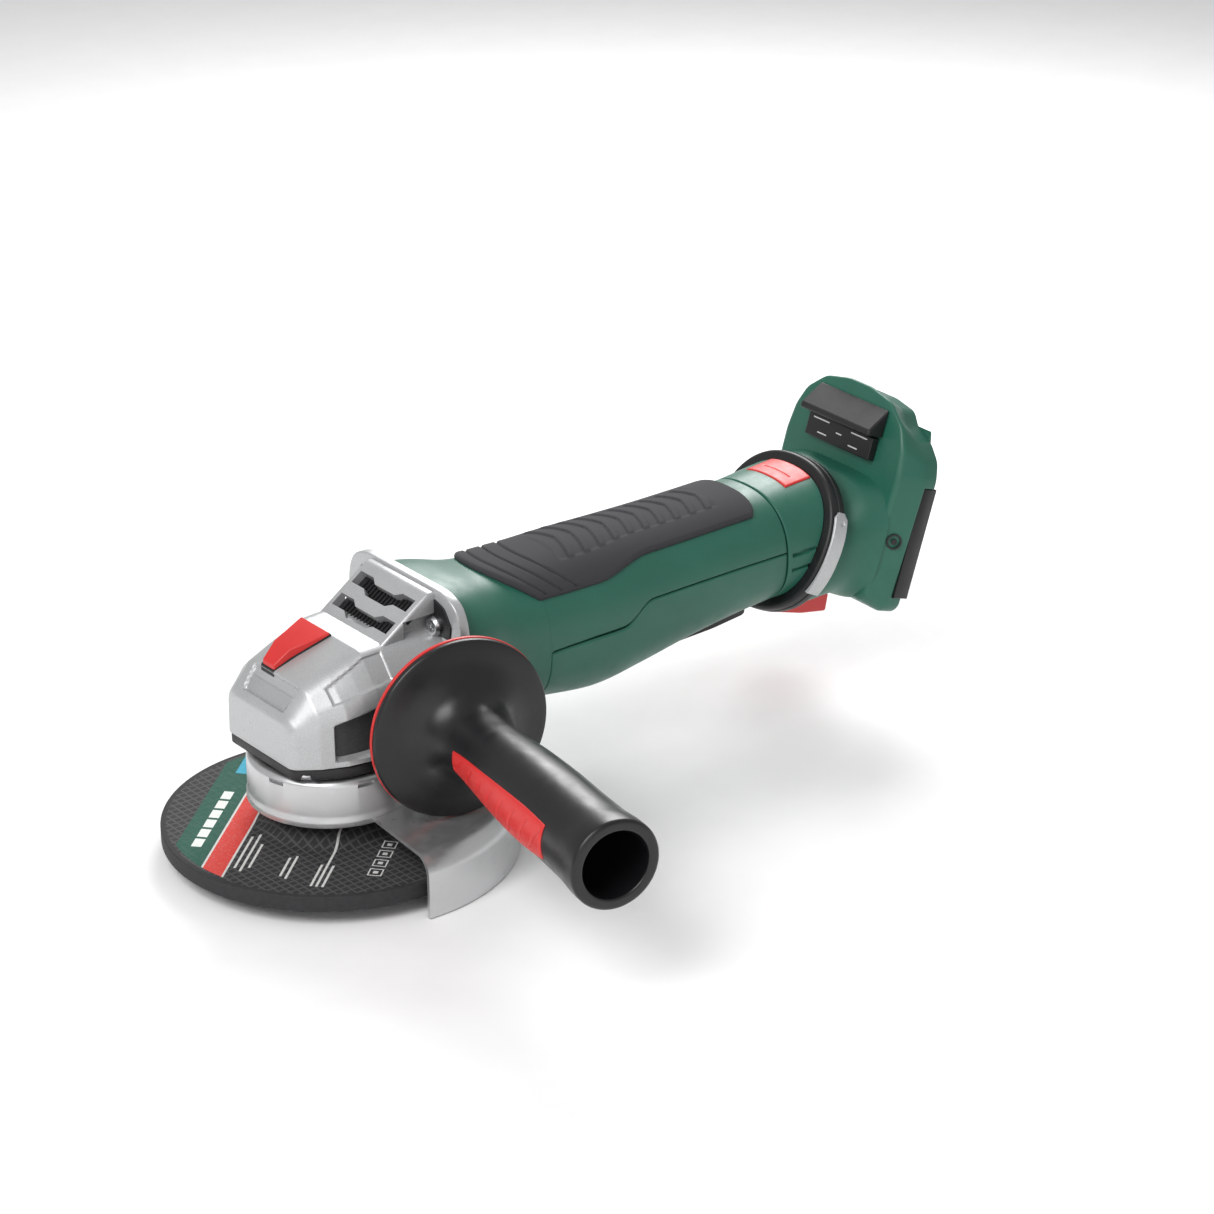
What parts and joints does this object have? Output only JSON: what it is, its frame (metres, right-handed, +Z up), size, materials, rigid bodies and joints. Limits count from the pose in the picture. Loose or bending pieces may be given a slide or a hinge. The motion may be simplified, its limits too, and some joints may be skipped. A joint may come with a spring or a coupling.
{
  "type": "cordless angle grinder",
  "caption": "Cordless angle grinder with a bevel gear head, turning wheel guard, paddle switch, soft grip body, side handle and a rail foot for a slide-on battery.",
  "frame": {"origin": "centre of the spindle's lower end face", "axes": "+Z up along the spindle, +X from the gear head to the battery foot, -Y towards the side handle"},
  "size_m": [0.3293, 0.2326, 0.1189],
  "materials": {
    "silver": "die-cast aluminium under a fine silver coat",
    "steel": "bright steel",
    "guard_metal": "zinc-bright pressed sheet",
    "green_plastic": "fine-textured dark green moulding",
    "black_plastic": "fine-textured black moulding",
    "grey_plastic": "satin dark grey moulding",
    "soft_rubber": "soft overmould with fine grain",
    "red_plastic": "satin red moulding",
    "abrasive": "resin-bonded grit with a printed paper label",
    "brass": "plain strip",
    "copper": "lacquered copper windings on steel laminations",
    "core_iron": "laminated rotor steel",
    "circuit_board": "coated board"
  },
  "bodies": {
    "housing": {"battery_foot": "green_plastic", "bearing_cover": "black_plastic", "bearing_plate": "silver", "capacitor": "grey_plastic", "contact_blade_1": "brass", "contact_blade_2": "brass", "contact_blade_3": "brass", "contact_block": "grey_plastic", "control_board": "circuit_board", "cover_screw_1": "steel", "cover_screw_2": "steel", "cover_screw_3": "steel", "cover_screw_4": "steel", "display_panel": "black_plastic", "foot_cover": "grey_plastic", "front_motor_bearing": "steel", "gear_housing": "silver", "gearbox_screw_1": "steel", "gearbox_screw_2": "steel", "gearbox_screw_3": "steel", "gearbox_screw_4": "steel", "guard_lever_pin": "steel", "intake_ring": "black_plastic", "lock_spring": "steel", "lower_shell": "green_plastic", "motor_housing": "green_plastic", "needle_bearing": "steel", "paddle_pin": "steel", "paddle_spring": "steel", "rail_plate": "black_plastic", "rear_housing": "green_plastic", "rear_motor_bearing": "steel", "ring_plate": "silver", "side_handle_grip": "soft_rubber", "side_handle_inlay": "red_plastic", "side_handle_ring": "red_plastic", "side_handle_stud": "steel", "soft_grip": "soft_rubber", "spindle_bearing": "steel", "stator": "copper", "status_lens": "red_plastic", "switch_module": "black_plastic"},
    "spindle": {"spindle": "steel", "crown_gear": "steel", "inner_flange": "steel", "grinding_wheel": "abrasive", "clamp_nut": "steel"},
    "motor": {"motor_shaft": "steel", "pinion_gear": "steel", "rotor_core": "core_iron", "cooling_fan": "black_plastic"},
    "guard": {"guard": "guard_metal"},
    "guard_lever": {"guard_lever": "steel"},
    "lock_button": {"spindle_lock_button": "red_plastic", "lock_pin": "steel"},
    "paddle": {"paddle": "black_plastic"},
    "lock_off": {"lock_off_lever": "black_plastic"},
    "plunger": {"switch_plunger": "red_plastic"},
    "catch": {"ring_catch": "red_plastic"}
  },
  "joints": [
    {"name": "spindle_spin", "type": "hinge", "parent": "housing", "child": "spindle", "pos_m": [0, 0, 0.03], "axis": [0, 0, 1], "continuous": true},
    {"name": "motor_spin", "type": "hinge", "parent": "housing", "child": "motor", "pos_m": [0.06, 0, 0.068], "axis": [1, 0, 0], "continuous": true},
    {"name": "guard_turn", "type": "hinge", "parent": "housing", "child": "guard", "pos_m": [0, 0, 0.0228], "axis": [0, 0, 1], "range_deg": [-90, 90]},
    {"name": "guard_lever_swing", "type": "hinge", "parent": "housing", "child": "guard_lever", "pos_m": [0.02278, -0.02916, 0.0278], "axis": [0, 0, 1], "range_deg": [0, 15], "stiffness_Nm_per_rad": 0.5, "springref_deg": -17.19},
    {"name": "lock_press", "type": "slide", "parent": "housing", "child": "lock_button", "axis": [0, 0, -1], "range_m": [0, 0.0035], "stiffness_N_per_m": 600, "springref_m": -0.003, "deforming": ["lock_spring"]},
    {"name": "paddle_squeeze", "type": "hinge", "parent": "housing", "child": "paddle", "pos_m": [0.116, 0, 0.0435], "axis": [0, -1, 0], "range_deg": [0, 4], "stiffness_Nm_per_rad": 4, "springref_deg": -5.73, "deforming": ["paddle_spring"]},
    {"name": "lock_off_tip", "type": "hinge", "parent": "paddle", "child": "lock_off", "pos_m": [0.157, 0, 0.044], "axis": [0, 1, 0], "range_deg": [0, 15], "stiffness_Nm_per_rad": 0.05, "springref_deg": -11.46},
    {"name": "switch_press", "type": "slide", "parent": "housing", "child": "plunger", "axis": [0, 0, 1], "range_m": [0, 0.004]},
    {"name": "catch_open", "type": "hinge", "parent": "housing", "child": "catch", "pos_m": [0.2035, 0, 0.0388], "axis": [0, 1, 0], "range_deg": [0, 15], "stiffness_Nm_per_rad": 0.2, "springref_deg": -17.19}
  ],
  "couplings": [
    {"joint": "motor_spin", "follows": "spindle_spin", "ratio": 3},
    {"joint": "switch_press", "follows": "paddle_squeeze", "m_per_rad": 0.057}
  ]
}
